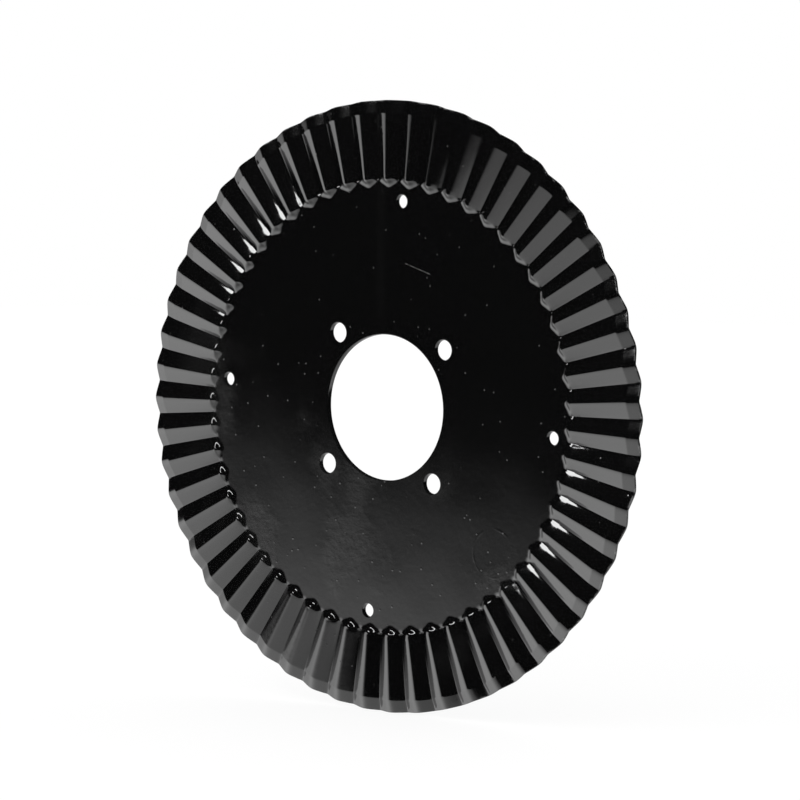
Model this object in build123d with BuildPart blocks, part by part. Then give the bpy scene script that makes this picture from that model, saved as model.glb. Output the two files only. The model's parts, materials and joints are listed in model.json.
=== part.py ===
from build123d import *
import math
import os

# Wavy disc blade, one pressed steel plate. Millimetres and degrees.
# The blade stands on edge: its axis is Y, its bevelled front face looks towards -Y, and +Z is up.
# The origin is the middle of the bore, halfway through the plate.
# Angles run from +X towards +Z, as seen from the front.

# Driving dimensions
blade_diameter = 432.0
plate_thickness = 4.0

bore_diameter = 103.2
bolt_count = 4
bolt_hole_diameter = 14.3
bolt_land = 7.925  # steel left between the bore and each bolt hole
bolt_angle = 39.0

small_hole_count = 4
small_hole_diameter = 9.5
small_hole_land = 4.5  # flat steel left between each small hole and the flutes
small_hole_turn = -45.0  # from a bolt hole to a small hole

flute_count = 55
crest_height = 4.1
valley_depth = 0.7
flute_angle = 3.42
flute_length = 61.0  # from the rim inwards, with the run-out
run_out_length = 9.0
inside_bend = 2.0

bevel_width = 8.8
rim_thickness = 2.0
edge_break = 0.4

# Sizes that follow
blade_radius = blade_diameter / 2
half_thickness = plate_thickness / 2
run_out_inner_radius = blade_radius - flute_length
bolt_circle = bore_diameter + bolt_hole_diameter + 2 * bolt_land
small_hole_circle = 2 * (run_out_inner_radius - small_hole_land) - small_hole_diameter
small_hole_angle = bolt_angle + small_hole_turn
flute_pitch = 360 / flute_count
flute_depth = crest_height + valley_depth
flute_lift = (crest_height - valley_depth) / 2
half_pitch_slope = math.tan(math.radians(flute_pitch / 2))
outside_bend = inside_bend + plate_thickness
flute_full_radius = run_out_inner_radius + run_out_length
bevel_radius = blade_radius - bevel_width
past_rim = 2.0
cut_radius = blade_radius + past_rim
cut_fall = (plate_thickness - rim_thickness) * (bevel_width + past_rim) / bevel_width


def wave_edges(radius, depth, height, crest_bend, valley_bend):
    # One face of the plate, cut across a flute: half a flank, a crest, a flank, a valley, half a flank.
    # The bends keep their width while the depth grows from nothing, where they are straight.
    half_pitch = radius * half_pitch_slope
    full_slope = math.atan(flute_depth / half_pitch)
    slope = depth / half_pitch
    last_point = (radius, -half_pitch, height)
    edges = []
    for side, bend_radius in ((1, crest_bend), (-1, valley_bend)):
        bend_reach = bend_radius * math.sin(full_slope)
        bend_foot = depth / 2 - slope * bend_reach
        bend_top = bend_foot + bend_reach * math.tan(math.atan(slope) / 2)
        middle = -side * half_pitch / 2
        bend_start = (radius, middle - bend_reach, height + side * bend_foot)
        bend_middle = (radius, middle, height + side * bend_top)
        bend_end = (radius, middle + bend_reach, height + side * bend_foot)
        edges.append(Line(last_point, bend_start))
        if depth > 0:
            edges.append(ThreePointArc(bend_start, bend_middle, bend_end))
        else:
            edges.append(Line(bend_start, bend_end))
        last_point = bend_end
    edges.append(Line(last_point, (radius, half_pitch, height)))
    return edges


# One flute with its front upward, from the flat middle out along X, past the rim and trimmed there.
# Its crest stands out from the front face, and its valley lies a little below it.
# Each bend is wide on its outside and sharp on its inside, as pressed plate is.
stations = [
    (run_out_inner_radius, 0.0, 0.0, 0.0),
    (flute_full_radius, flute_depth, flute_lift, 0.0),
    (bevel_radius, flute_depth, flute_lift, 0.0),
    (cut_radius, flute_depth, flute_lift, cut_fall),
]
sections = []
for station_radius, depth, lift, front_fall in stations:
    front_height = half_thickness + lift - front_fall
    back_height = lift - half_thickness
    outline = wave_edges(station_radius, depth, front_height, outside_bend, inside_bend)
    outline += wave_edges(station_radius, depth, back_height, inside_bend, outside_bend)
    for side in (-1, 1):
        edge_place = side * station_radius * half_pitch_slope
        back_corner = (station_radius, edge_place, back_height)
        outline.append(Line(back_corner, (station_radius, edge_place, front_height)))
    sections.append(make_face(outline))
with BuildPart() as flute:
    loft(sections, ruled=True)
    Cylinder(blade_radius, 4 * (plate_thickness + flute_depth), mode=Mode.INTERSECT)

# The blade: a flat middle with its holes, and the same flute all the way round
with BuildPart(Plane.XZ) as disc_blade:
    with BuildSketch(Plane.XZ):
        RegularPolygon(
            run_out_inner_radius,
            flute_count,
            major_radius=False,
            rotation=flute_angle + flute_pitch * 3 / 4,
            align=None,
        )
    extrude(amount=half_thickness, both=True)
    Hole(bore_diameter / 2)
    with PolarLocations(bolt_circle / 2, bolt_count, start_angle=bolt_angle):
        Hole(bolt_hole_diameter / 2)
    with PolarLocations(small_hole_circle / 2, small_hole_count, start_angle=small_hole_angle):
        Hole(small_hole_diameter / 2)
    chamfer(disc_blade.edges().filter_by(GeomType.CIRCLE), edge_break)
    with PolarLocations(0, flute_count, start_angle=flute_angle + flute_pitch / 4):
        add(flute.part)

disc_blade.part.label = "disc_blade"
os.makedirs("parts", exist_ok=True)
export_step(disc_blade.part, "parts/disc_blade.step")
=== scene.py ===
import bmesh
import bpy
import json
import math
from mathutils import Matrix, Vector


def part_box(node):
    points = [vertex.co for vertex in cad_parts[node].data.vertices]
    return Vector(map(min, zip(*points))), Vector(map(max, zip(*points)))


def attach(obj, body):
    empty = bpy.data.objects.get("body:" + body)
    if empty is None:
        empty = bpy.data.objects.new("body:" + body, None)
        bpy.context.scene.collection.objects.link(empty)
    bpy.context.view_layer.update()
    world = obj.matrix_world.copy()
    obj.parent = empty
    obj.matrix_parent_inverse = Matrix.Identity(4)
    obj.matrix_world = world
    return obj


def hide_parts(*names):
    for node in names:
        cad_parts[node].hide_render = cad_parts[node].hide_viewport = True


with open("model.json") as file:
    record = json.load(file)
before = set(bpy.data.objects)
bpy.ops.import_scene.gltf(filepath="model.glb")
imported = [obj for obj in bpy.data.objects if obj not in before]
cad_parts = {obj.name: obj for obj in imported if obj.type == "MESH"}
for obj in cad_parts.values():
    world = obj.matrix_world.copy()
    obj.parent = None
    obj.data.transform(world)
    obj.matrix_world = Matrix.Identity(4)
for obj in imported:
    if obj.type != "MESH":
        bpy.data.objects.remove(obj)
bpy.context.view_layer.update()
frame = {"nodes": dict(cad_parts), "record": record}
print("frame loaded:", ", ".join(frame["nodes"]))

mounts = {mount["name"]: mount for mount in frame["record"]["mounts"]}
lowCorner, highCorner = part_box("disc_blade")
plateRadius = (highCorner[0] - lowCorner[0]) / 2
floorHeight = lowCorner[2]
hair = 0.0001  # places closer together than this count as one, in metres


# Small helpers for working on a mesh by hand

def startClean():
    if bpy.context.object and bpy.context.object.mode != "OBJECT":
        bpy.ops.object.mode_set(mode="OBJECT")
    bpy.ops.object.select_all(action="DESELECT")


def startOn(piece):
    startClean()
    piece.select_set(True)
    bpy.context.view_layer.objects.active = piece


def pick(piece, kind, test):
    # kind is VERT, EDGE or FACE, and test says whether one of them is wanted
    bpy.ops.mesh.select_mode(type=kind)
    bpy.ops.mesh.select_all(action="DESELECT")
    mesh = bmesh.from_edit_mesh(piece.data)
    parts = {"VERT": mesh.verts, "EDGE": mesh.edges, "FACE": mesh.faces}[kind]
    for part in parts:
        part.select = test(part)
    mesh.select_flush_mode()
    bmesh.update_edit_mesh(piece.data)


def lift(height, falloff, size):
    # Moves the picked points up, and those around them less and less
    bpy.ops.transform.translate(
        value=(0, 0, height),
        use_proportional_edit=True, proportional_edit_falloff=falloff, proportional_size=size,
    )


def reach(point):
    # Distance from the blade's axis while the blade lies flat
    return math.hypot(point.x, point.y)


def middleOf(edge):
    return (edge.verts[0].co + edge.verts[1].co) / 2


# The blade: one flute is raised on a strip, the strip is fanned out and repeated,
# and the flat middle is filled. It lies flat with its front upward while it is made,
# and is stood up at the end.

blade = {
    "thickness": 0.004,
    "fluteCount": 55,
    "fluteAngle": 3.42,  # where one crest lies, in degrees from +X towards +Z
    "crestHeight": 0.00412,  # before the bends are eased
    "valleyDepth": 0.0007,
    "crestStart": 0.1608,  # from here on outwards the flutes have their full height
    "noseLength": 0.0046,  # how far they rise to it, along the crest
    "shoulderLength": 0.0014,  # and beside it
    "noseShare": 0.55,  # how wide the nose is, as a share of the flute
    "dimpleReach": 0.0008,  # how far inside crestStart the valleys begin to go down
    "grooves": (  # how far out, how wide to each side, how deep
        (0.1690, 0.0034, 0.00010),
        (0.1800, 0.0028, 0.00018),
        (0.1920, 0.0014, 0.00017),
    ),
    "stripStart": 0.1538,  # inside this the plate is flat
    "noseRowStep": 0.0007,
    "noseRowsEnd": 0.1684,
    "longRowCount": 6,
    "columnCount": 24,
    "noseEasing": 8,  # how many times each is eased
    "crestEasing": 20,  # a bend is round on its outside and sharp on its inside
    "backEasing": 20,
    "valleyEasing": 1,
    "easingLap": 0.0004,  # how far past crestStart the crests get all their easing
    "frontCrestShare": 0.38,  # what counts as crest, to each side, as a share of the pitch
    "backCrestShare": 0.16,
    "bevelWidth": 0.0088,
    "bevelRow": 0.0006,  # the rows of faces beside the bevel's inner edge
    "rimThickness": 0.002,
    "mergeDistance": 0.00002,
    "margin": 0.001,  # an edge this near to the rim belongs to the rim
    "holeEdge": 0.0005,
    "rimEdge": 0.00022,
    "edgeSegments": 2,
    "holeCorner": 1.0,  # an edge is sharp from these angles on, in radians
    "rimCorner": 0.7,
    "smoothAngle": 28,
}

halfPitch = math.pi / blade["fluteCount"]
halfWidth = blade["crestStart"] * halfPitch
bevelStart = plateRadius - blade["bevelWidth"]


def isNearCrest(point, isBack):
    # The front bends wide round its crests, and the back round its valleys
    turn = (math.atan2(point.y, point.x) - math.radians(blade["fluteAngle"])) / (2 * halfPitch)
    share = blade["backCrestShare"] if isBack else blade["frontCrestShare"]
    return abs(turn - round(turn)) < share


def rowRadii():
    radii = []
    radius = blade["stripStart"]
    while radius < blade["noseRowsEnd"]:
        radii.append(radius)
        radius += blade["noseRowStep"]
    longStep = (bevelStart - blade["bevelRow"] - radii[-1]) / blade["longRowCount"]
    for row in range(blade["longRowCount"]):
        radii.append(radii[-1] + longStep)
    radii += [bevelStart, bevelStart + blade["bevelRow"]]
    radii += [plateRadius - blade["bevelWidth"] / 2, plateRadius]
    return radii


def makeStrip():
    # A flat strip, one flute wide, with a row of faces for each step outward
    radii = rowRadii()
    firstStep = radii[1] - radii[0]
    startClean()
    bpy.ops.mesh.primitive_grid_add(x_subdivisions=1, y_subdivisions=blade["columnCount"], size=1)
    strip = bpy.context.object
    strip.name = "blade"
    bpy.ops.object.mode_set(mode="EDIT")
    bpy.ops.transform.resize(value=(firstStep, 2 * halfWidth, 1))
    bpy.ops.transform.translate(value=(radii[0] + firstStep / 2, 0, 0))
    for inner, outer in zip(radii[1:], radii[2:]):
        pick(strip, "VERT", lambda v: v.co.x > inner - hair)
        bpy.ops.mesh.extrude_region_move(TRANSFORM_OT_translate={"value": (outer - inner, 0, 0)})
    return strip


def raiseFlute(piece):
    # The crest goes up with straight flanks, all along the strip
    pick(piece, "VERT", lambda v: abs(v.co.y) < hair)
    lift(blade["crestHeight"] + blade["valleyDepth"], "LINEAR", halfWidth)

    # Short of its full height it is pressed down into a nose, long at the crest and short beside it
    crestStart = blade["crestStart"]
    mesh = bmesh.from_edit_mesh(piece.data)
    for vertex in mesh.verts:
        beside = min(1, abs(vertex.co.y) / (blade["noseShare"] * halfWidth))
        length = blade["noseLength"] + (blade["shoulderLength"] - blade["noseLength"]) * beside
        vertex.co.z *= min(1, max(0, 1 - (crestStart - vertex.co.x) / length))
    bmesh.update_edit_mesh(piece.data)

    # Then the fluted part goes down a little, so that the valleys start with a short step
    pick(piece, "VERT", lambda v: v.co.x > crestStart - hair)
    lift(-blade["valleyDepth"], "SMOOTH", blade["dimpleReach"])

    # The valleys are pressed a little sharper near their inner ends
    for grooveEnd, grooveReach, grooveDepth in blade["grooves"]:
        pick(piece, "VERT", lambda v: abs(abs(v.co.y) - halfWidth) < hair
             and crestStart - hair < v.co.x < grooveEnd)
        lift(-grooveDepth, "LINEAR", grooveReach)


def repeatFlute(piece):
    # Fanned out: every row becomes an arc of its own radius
    mesh = bmesh.from_edit_mesh(piece.data)
    for vertex in mesh.verts:
        turn = vertex.co.y / halfWidth * halfPitch + math.radians(blade["fluteAngle"])
        vertex.co = Vector((vertex.co.x * math.cos(turn), vertex.co.x * math.sin(turn), vertex.co.z))
    bmesh.update_edit_mesh(piece.data)

    # All the flutes, joined
    bpy.ops.mesh.select_all(action="SELECT")
    bpy.ops.mesh.spin(
        steps=blade["fluteCount"] - 1, dupli=True, angle=2 * halfPitch * (blade["fluteCount"] - 1),
        center=(0, 0, 0), axis=(0, 0, 1),
    )
    bpy.ops.mesh.select_all(action="SELECT")
    bpy.ops.mesh.remove_doubles(threshold=blade["mergeDistance"])


def addBack(piece):
    # The flat middle, and a second sheet for the back of the plate
    pick(piece, "EDGE", lambda e: reach(middleOf(e)) < blade["stripStart"] and e.is_boundary)
    bpy.ops.mesh.edge_face_add()
    bpy.ops.mesh.select_mode(type="VERT")
    bpy.ops.mesh.select_all(action="SELECT")
    bpy.ops.mesh.duplicate_move(TRANSFORM_OT_translate={"value": (0, 0, -blade["thickness"])})
    mesh = bmesh.from_edit_mesh(piece.data)
    mesh.verts.index_update()
    return {vertex.index for vertex in mesh.verts if vertex.select}


def easeBends(piece, backFace):
    # No point moves sideways, and the back is eased the other way round
    edgeOfFlat = blade["stripStart"] + hair
    edgeOfNose = blade["crestStart"] + blade["easingLap"]
    for isBack, easesCrest, innerRadius, times in (
        (False, True, edgeOfFlat, blade["noseEasing"]),
        (False, True, edgeOfNose, blade["crestEasing"] - blade["noseEasing"]),
        (False, False, edgeOfFlat, blade["valleyEasing"]),
        (True, False, edgeOfFlat, blade["backEasing"]),
        (True, True, edgeOfFlat, blade["valleyEasing"]),
    ):
        pick(piece, "VERT", lambda v: (v.index in backFace) == isBack
             and reach(v.co) > innerRadius
             and isNearCrest(v.co, isBack) == easesCrest)
        bpy.ops.mesh.vertices_smooth(factor=0.5, repeat=times, xaxis=False, yaxis=False)


def grindBevel(piece, backFace):
    # The bevel is ground off the front only
    bevelFall = (blade["thickness"] - blade["rimThickness"]) / blade["bevelWidth"]
    mesh = bmesh.from_edit_mesh(piece.data)
    for vertex in mesh.verts:
        if vertex.index not in backFace:
            vertex.co.z -= max(0, reach(vertex.co) - bevelStart) * bevelFall
    bmesh.update_edit_mesh(piece.data)


def closeRim(piece):
    # The two sheets are joined at the rim, and the plate's middle is brought to the origin
    pick(piece, "EDGE", lambda e: reach(middleOf(e)) > plateRadius - blade["margin"] and e.is_boundary)
    bpy.ops.mesh.bridge_edge_loops()
    bpy.ops.mesh.select_all(action="SELECT")
    bpy.ops.transform.translate(value=(0, 0, blade["thickness"] / 2))
    bpy.ops.mesh.normals_make_consistent(inside=False)
    mesh = bmesh.from_edit_mesh(piece.data)
    if mesh.calc_volume(signed=True) < 0:
        bpy.ops.mesh.flip_normals()
    bpy.ops.object.mode_set(mode="OBJECT")


def makeBlade():
    piece = makeStrip()
    raiseFlute(piece)
    repeatFlute(piece)
    backFace = addBack(piece)
    easeBends(piece, backFace)
    grindBevel(piece, backFace)
    closeRim(piece)
    return piece


# The holes: their sizes and circles come from the mounts

holes = {
    "firstAngles": {"hub_bolts": 39.0, "outer_holes": -6.0},  # degrees from +X towards +Z
    "boreSides": 128,
    "holeSides": 48,
    "drillLength": 0.05,
}


def drillBlade(piece):
    drills = [(mounts["centre_bore"]["dims"]["r_mm"] / 1000, 0, 0, holes["boreSides"])]
    for name, firstAngle in holes["firstAngles"].items():
        dims = mounts[name]["dims"]
        holeRadius = dims["hole_r_mm"] / 1000
        ring = dims["pcd_mm"] / 2000
        for number in range(dims["count"]):
            turn = math.radians(firstAngle + 360 / dims["count"] * number)
            drills.append((holeRadius, ring * math.cos(turn), ring * math.sin(turn), holes["holeSides"]))
    for radius, x, y, sides in drills:
        startClean()
        bpy.ops.mesh.primitive_cylinder_add(
            vertices=sides, radius=radius, depth=holes["drillLength"], location=(x, y, 0),
        )
        drill = bpy.context.object
        cut = piece.modifiers.new("hole", "BOOLEAN")
        cut.operation = "DIFFERENCE"
        cut.solver = "EXACT"
        cut.object = drill
        startOn(piece)
        bpy.ops.object.modifier_apply(modifier=cut.name)
        bpy.data.objects.remove(drill)


def finishBlade(piece):
    # The sheared edges of the holes and the rim are a little rounded
    startOn(piece)
    bpy.ops.object.mode_set(mode="EDIT")
    pick(piece, "EDGE", lambda e: reach(middleOf(e)) < blade["stripStart"] - blade["margin"]
         and len(e.link_faces) == 2 and e.calc_face_angle() > blade["holeCorner"])
    bpy.ops.mesh.bevel(offset=blade["holeEdge"], segments=blade["edgeSegments"], affect="EDGES")
    pick(piece, "EDGE", lambda e: reach(middleOf(e)) > plateRadius - blade["margin"]
         and len(e.link_faces) == 2 and e.calc_face_angle() > blade["rimCorner"])
    bpy.ops.mesh.bevel(offset=blade["rimEdge"], segments=blade["edgeSegments"], affect="EDGES")
    bpy.ops.object.mode_set(mode="OBJECT")

    # Stood up, with its front towards -Y
    piece.rotation_euler = (math.pi / 2, 0, 0)
    bpy.ops.object.transform_apply(location=True, rotation=True, scale=True)
    bpy.ops.object.shade_smooth_by_angle(angle=math.radians(blade["smoothAngle"]))
    weigh = piece.modifiers.new("flat faces stay flat", "WEIGHTED_NORMAL")
    weigh.keep_sharp = True
    bpy.ops.object.modifier_apply(modifier=weigh.name)


bladePiece = makeBlade()
print("flutes made:", len(bladePiece.data.polygons), "faces")
drillBlade(bladePiece)
finishBlade(bladePiece)
print("blade drilled and edged:", len(bladePiece.data.polygons), "faces")
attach(bladePiece, "root")
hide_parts("disc_blade")


# Paint and other materials

class Socket:
    # A shader value that can be added, multiplied and so on, as in a sum on paper
    def __init__(self, tree, link):
        self.tree = tree
        self.link = link

    def join(self, operation, first, second):
        node = self.tree.nodes.new("ShaderNodeMath")
        node.operation = operation
        for place, value in enumerate((first, second)):
            if isinstance(value, Socket):
                self.tree.links.new(value.link, node.inputs[place])
            else:
                node.inputs[place].default_value = value
        return Socket(self.tree, node.outputs[0])

    def atLeast(self, other):
        return self.join("MAXIMUM", self, other)

    def atMost(self, other):
        return self.join("MINIMUM", self, other)

    def size(self):
        return self.join("ABSOLUTE", self, 0)

    def root(self):
        return self.join("SQRT", self, 0)

    def __add__(self, other):
        return self.join("ADD", self, other)

    def __radd__(self, other):
        return self.join("ADD", other, self)

    def __sub__(self, other):
        return self.join("SUBTRACT", self, other)

    def __rsub__(self, other):
        return self.join("SUBTRACT", other, self)

    def __mul__(self, other):
        return self.join("MULTIPLY", self, other)

    def __rmul__(self, other):
        return self.join("MULTIPLY", other, self)


class Shader:
    def __init__(self, tree):
        self.tree = tree
        tree.nodes.clear()

    def node(self, kind, settings=None, **values):
        # settings are set first, such as a data type; values go to the sockets by name, or number as in_0
        made = self.tree.nodes.new(kind)
        for name, value in (settings or {}).items():
            setattr(made, name, value)
        for name, value in values.items():
            key = int(name[3:]) if name.startswith("in_") else name.replace("_", " ")
            if isinstance(value, Socket):
                self.tree.links.new(value.link, made.inputs[key])
            else:
                made.inputs[key].default_value = value
        return made

    def out(self, made, key=0):
        return Socket(self.tree, made.outputs[key])

    def split(self, vector):
        parts = self.node("ShaderNodeSeparateXYZ", in_0=vector)
        return [self.out(parts, number) for number in range(3)]

    def noise(self, where, scale, detail):
        return self.out(self.node("ShaderNodeTexNoise", Vector=where, Scale=scale, Detail=detail))

    def step(self, value, low, high):
        # 0 up to low, 1 from high on, and a smooth rise between
        return self.out(self.node("ShaderNodeMapRange", {"interpolation_type": "SMOOTHSTEP"},
                                  Value=value, From_Min=low, From_Max=high, To_Min=0, To_Max=1))

    def patches(self, where, scale, detail, low, high):
        return self.step(self.noise(where, scale, detail), low, high)

    def blend(self, share, first, second):
        mixed = self.node("ShaderNodeMix", {"data_type": "RGBA"}, in_0=share, in_6=first, in_7=second)
        return self.out(mixed, 2)


def newMaterial(name):
    material = bpy.data.materials.new(name)
    material.use_nodes = True
    return material, Shader(material.node_tree)


# Places are in metres, scales per metre, and heights in millimetres.
# An edge is where a mark starts and where it is full, and patches are scale, detail and edge.

paint = {
    "colour": (0.0026, 0.0026, 0.0027, 1),
    "dustColour": (0.035, 0.035, 0.034, 1),
    "wornColour": (0.10, 0.10, 0.10, 1),
    "roughness": 0.055,
    "ior": 2.69,
    "frontEdge": (-0.0005, 0.0005),
    "waveScale": 13,
    "waveHeight": 0.30,
    "peelScale": 230,
    "peelHeight": 0.012,
    "roughPeelHeight": 0.034,
    "roughPatches": (16, 3, 0.50, 0.66),
    "lowSlant": 0.5,
    "lowEdge": (-0.02, 0.06),
    "seamPlace": -0.0035,
    "seamEdge": (0.001, 0.005),
    "seamStart": (0.05, 0.08),
    "seamShare": 0.3,
    "nibScale": 110,
    "nibEdge": (0.02, 0.11),
    "nibHeight": 0.05,
    "speckPatches": (900, 1, 0.70, 0.80),
    "scratch": (0.0183, 0.1018, 0.0408, 0.0944),  # from x, z to x, z
    "scratchEdge": (0.00012, 0.0004),
    "scratchPatches": (500, 2, 0.38, 0.55),
    "scratchDepth": 0.02,
    "ringMiddle": (0.095, -0.097),
    "ringRadius": 0.017,
    "ringEdge": (0.0002, 0.0012),
    "ringPatches": (60, 2, 0.42, 0.55),
    "ringHeight": 0.012,
    "wornEdge": (0.0012, 0.0002),  # inwards from the rim
    "wornPatches": (170, 3, 0.52, 0.62),
    "dustShares": (0.7, 0.12, 0.25),  # on nibs, on rough paint and on specks
    "roughnessShares": (0.07, 0.2, 0.25),  # of rough paint, of nibs, and of worn or scratched paint
    "roughnessScale": 35,
    "roughnessSpread": 0.02,
}


def makePaint():
    material, shader = newMaterial("gloss black paint")
    where = shader.out(shader.node("ShaderNodeTexCoord"), "Object")
    x, y, z = shader.split(where)
    front = 1 - shader.step(y, *paint["frontEdge"])
    radius = (x * x + z * z).root()

    # Where the paint dried rougher: low on the left, in patches, and along a faint seam above the bore
    low = shader.step(z * -1 - x * paint["lowSlant"], *paint["lowEdge"])
    seam = 1 - shader.step((x - paint["seamPlace"]).size(), *paint["seamEdge"])
    seam = seam * front * shader.step(z, *paint["seamStart"]) * paint["seamShare"]
    rough = (shader.patches(where, *paint["roughPatches"]) * low + seam).atMost(1)

    # Nibs of dust under the paint, and finer specks on it
    cells = shader.node("ShaderNodeTexVoronoi", Vector=where, Scale=paint["nibScale"])
    nibs = 1 - shader.step(shader.out(cells), *paint["nibEdge"])
    specks = shader.patches(where, *paint["speckPatches"])

    # One scratch
    startX, startZ, endX, endZ = paint["scratch"]
    length = math.hypot(endX - startX, endZ - startZ)
    alongX, alongZ = (endX - startX) / length, (endZ - startZ) / length
    along = (x - startX) * alongX + (z - startZ) * alongZ
    beside = ((x - startX) * alongZ - (z - startZ) * alongX).size()
    past = (along * -1).atLeast(0) + (along - length).atLeast(0) + beside
    scratch = (1 - shader.step(past, *paint["scratchEdge"])) * front
    scratch = scratch * shader.patches(where, *paint["scratchPatches"])

    # One ring left by something round
    offX, offZ = x - paint["ringMiddle"][0], z - paint["ringMiddle"][1]
    offRing = ((offX * offX + offZ * offZ).root() - paint["ringRadius"]).size()
    ring = (1 - shader.step(offRing, *paint["ringEdge"])) * front
    ring = ring * shader.patches(where, *paint["ringPatches"])

    # The sharp rim has lost a little of its paint
    wornStart, wornFull = paint["wornEdge"]
    worn = shader.step(radius, plateRadius - wornStart, plateRadius - wornFull)
    worn = worn * shader.patches(where, *paint["wornPatches"])

    wave = shader.noise(where, paint["waveScale"], 1) * paint["waveHeight"]
    peelHeight = rough * paint["roughPeelHeight"] + paint["peelHeight"]
    peel = shader.noise(where, paint["peelScale"], 2) * peelHeight
    marks = nibs * paint["nibHeight"] + ring * paint["ringHeight"] - scratch * paint["scratchDepth"]
    bump = shader.node("ShaderNodeBump", Strength=1.0, Distance=0.001, Height=wave + peel + marks)

    dustOnNibs, dustOnRough, dustOnSpecks = paint["dustShares"]
    dust = (nibs * dustOnNibs + rough * dustOnRough + specks * dustOnSpecks).atMost(1)
    colour = shader.blend(dust, paint["colour"], paint["dustColour"])
    colour = shader.blend((scratch + worn).atMost(1), colour, paint["wornColour"])

    roughShare, nibShare, wornShare = paint["roughnessShares"]
    spread = shader.noise(where, paint["roughnessScale"], 3) * paint["roughnessSpread"]
    roughness = rough * roughShare + nibs * nibShare + (scratch + worn) * wornShare
    body = shader.node(
        "ShaderNodeBsdfPrincipled",
        Base_Color=colour, Roughness=roughness + spread + paint["roughness"],
        IOR=paint["ior"], Normal=shader.out(bump),
    )
    shader.node("ShaderNodeOutputMaterial", Surface=shader.out(body))
    return material


bladePiece.data.materials.clear()
bladePiece.data.materials.append(makePaint())
print("paint made")


# Camera, floor and light

camera = {
    "azimuth": 37.9921,
    "elevation": 3.6253,
    "distance": 2.2975,  # from the middle of the bore, in metres
    "aside": -0.00968,  # how far the bore lies from the picture's middle
    "above": -0.00527,
    "lens": 146.586,
    "sensorWidth": 36,
    "clipEnd": 50,
}

floor = {
    "size": 12,
    "colour": (0.86, 0.86, 0.86, 1),
    "glow": 1.06,
    "glowShare": 0.82,  # of what the camera sees of the floor
}

# The pale ground, as the gloss paint mirrors it: it lies below a tilted line,
# and its brightness changes with the direction

ground = {
    "tiltX": -0.166,
    "tiltY": 0.213,
    "edge": (-0.001, 0.136),
    "curve": 1.582,
    "fallX": 0.217,
    "fallY": 1.227,
    "fallZ": 1.139,
    "base": 1.318,
    "least": 0.004,
    "around": 0.9,  # what lights the matte floor
    "backdrop": 1.0,
}

keyLamp = {
    "place": (-0.178, -1.2, 1.15),
    "along": (-0.781, 0, 0.625),  # the direction of its long side
    "length": 1.23,
    "width": 0.2,
    "power": 3,
}

white = (1, 1, 1, 1)


def makeCamera():
    azimuth = math.radians(camera["azimuth"])
    elevation = math.radians(camera["elevation"])
    level = math.cos(elevation)
    back = Vector((math.sin(azimuth) * level, -math.cos(azimuth) * level, math.sin(elevation)))
    right = Vector((math.cos(azimuth), math.sin(azimuth), 0))
    up = back.cross(right)
    place = back * camera["distance"] - right * camera["aside"] - up * camera["above"]
    bpy.ops.object.camera_add(location=place)
    made = bpy.context.object
    made.rotation_mode = "QUATERNION"
    made.rotation_quaternion = (-back).to_track_quat("-Z", "Y")
    made.data.sensor_width = camera["sensorWidth"]
    made.data.lens = camera["lens"]
    made.data.clip_end = camera["clipEnd"]
    bpy.context.scene.camera = made


def makeFloor():
    startClean()
    bpy.ops.mesh.primitive_plane_add(size=floor["size"], location=(0, 0, floorHeight))
    made = bpy.context.object
    made.name = "floor"
    material, shader = newMaterial("pale floor")
    matte = shader.node("ShaderNodeBsdfDiffuse", Color=floor["colour"])
    plain = shader.node("ShaderNodeEmission", Color=white, Strength=floor["glow"])
    seen = shader.node("ShaderNodeLightPath")
    share = shader.out(seen, "Is Camera Ray") * floor["glowShare"]
    mixed = shader.node("ShaderNodeMixShader", in_0=share, in_1=shader.out(matte), in_2=shader.out(plain))
    shader.node("ShaderNodeOutputMaterial", Surface=shader.out(mixed))
    made.data.materials.append(material)
    made.visible_glossy = False


def makeWorld():
    world = bpy.data.worlds.new("studio")
    world.use_nodes = True
    bpy.context.scene.world = world
    shader = Shader(world.node_tree)
    seen = shader.node("ShaderNodeLightPath")
    x, y, z = shader.split(shader.out(shader.node("ShaderNodeTexCoord"), "Generated"))
    y = y.size() * -1  # the same ground lies behind the blade
    isGround = shader.step(x * ground["tiltX"] + y * ground["tiltY"] - z, *ground["edge"])
    bright = x * x * ground["curve"] - x * ground["fallX"] - y * ground["fallY"] - z * ground["fallZ"]
    glow = (bright - ground["base"]).atLeast(0) * isGround + ground["least"]
    mirrored = shader.node("ShaderNodeBackground", Color=white, Strength=glow)
    around = shader.node("ShaderNodeBackground", Color=white, Strength=ground["around"])
    backdrop = shader.node("ShaderNodeBackground", Color=white, Strength=ground["backdrop"])
    inner = shader.node("ShaderNodeMixShader", in_0=shader.out(seen, "Is Glossy Ray"),
                        in_1=shader.out(around), in_2=shader.out(mirrored))
    outer = shader.node("ShaderNodeMixShader", in_0=shader.out(seen, "Is Camera Ray"),
                        in_1=shader.out(inner), in_2=shader.out(backdrop))
    shader.node("ShaderNodeOutputWorld", Surface=shader.out(outer))


def makeLamp():
    # It looks at the blade's middle
    bpy.ops.object.light_add(type="AREA", location=keyLamp["place"])
    lamp = bpy.context.object
    lamp.name = "key lamp"
    outward = Vector(keyLamp["place"]).normalized()
    side = Vector(keyLamp["along"])
    side = (side - side.dot(outward) * outward).normalized()
    turned = Matrix((side, outward.cross(side), outward)).transposed()
    lamp.rotation_mode = "QUATERNION"
    lamp.rotation_quaternion = turned.to_quaternion()
    lamp.data.shape = "RECTANGLE"
    lamp.data.size = keyLamp["length"]
    lamp.data.size_y = keyLamp["width"]
    lamp.data.energy = keyLamp["power"]


makeCamera()
makeFloor()
makeWorld()
makeLamp()
bpy.context.scene.view_settings.view_transform = "Standard"
print("camera, floor and light set")
